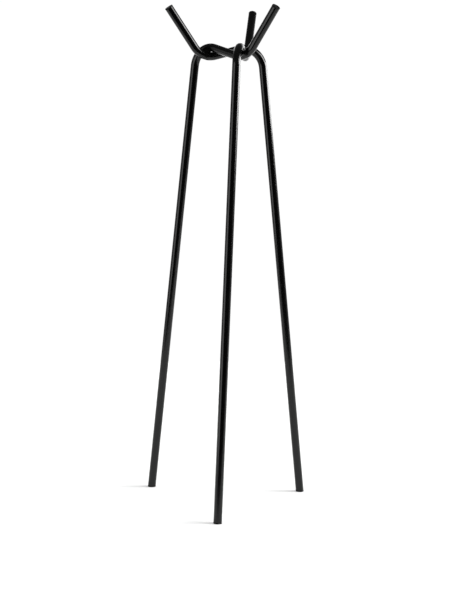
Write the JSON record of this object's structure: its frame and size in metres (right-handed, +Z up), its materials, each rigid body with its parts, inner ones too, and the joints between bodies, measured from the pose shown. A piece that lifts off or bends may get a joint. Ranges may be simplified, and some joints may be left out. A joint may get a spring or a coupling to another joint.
{
  "type": "standing coat rack",
  "caption": "Free-standing coat rack of bent steel tubes that knit together near the top, each one a splayed leg below and a rising arm above.",
  "frame": {"origin": "on the floor, at the centre of the base of the rack's bounding box. The rack's axis of threefold symmetry stands at x 0.0169 m, y 0.0507 m", "axes": "+Z up, along the rack's height. The front tube's plane runs along Y, with its foot towards -Y and its arm towards +Y"},
  "size_m": [0.5928, 0.5784, 1.8],
  "materials": {
    "black_powder_coat": "satin black powder coat",
    "black_plastic": "fine-textured black moulded plastic",
    "zinc_plated_steel": "bright zinc plate"
  },
  "bodies": {
    "root": {"front_tube": "black_powder_coat", "front_tube_arm_cap": "black_plastic", "front_tube_foot_glide": "black_plastic", "front_tube_screw": "zinc_plated_steel", "front_tube_seat_washer": "zinc_plated_steel", "front_tube_saddle_spacer": "black_plastic", "front_tube_threaded_insert": "zinc_plated_steel", "front_tube_hole_plug": "black_plastic", "right_tube": "black_powder_coat", "right_tube_arm_cap": "black_plastic", "right_tube_foot_glide": "black_plastic", "right_tube_screw": "zinc_plated_steel", "right_tube_seat_washer": "zinc_plated_steel", "right_tube_saddle_spacer": "black_plastic", "right_tube_threaded_insert": "zinc_plated_steel", "right_tube_hole_plug": "black_plastic", "left_tube": "black_powder_coat", "left_tube_arm_cap": "black_plastic", "left_tube_foot_glide": "black_plastic", "left_tube_screw": "zinc_plated_steel", "left_tube_seat_washer": "zinc_plated_steel", "left_tube_saddle_spacer": "black_plastic", "left_tube_threaded_insert": "zinc_plated_steel", "left_tube_hole_plug": "black_plastic"}
  },
  "joints": []
}
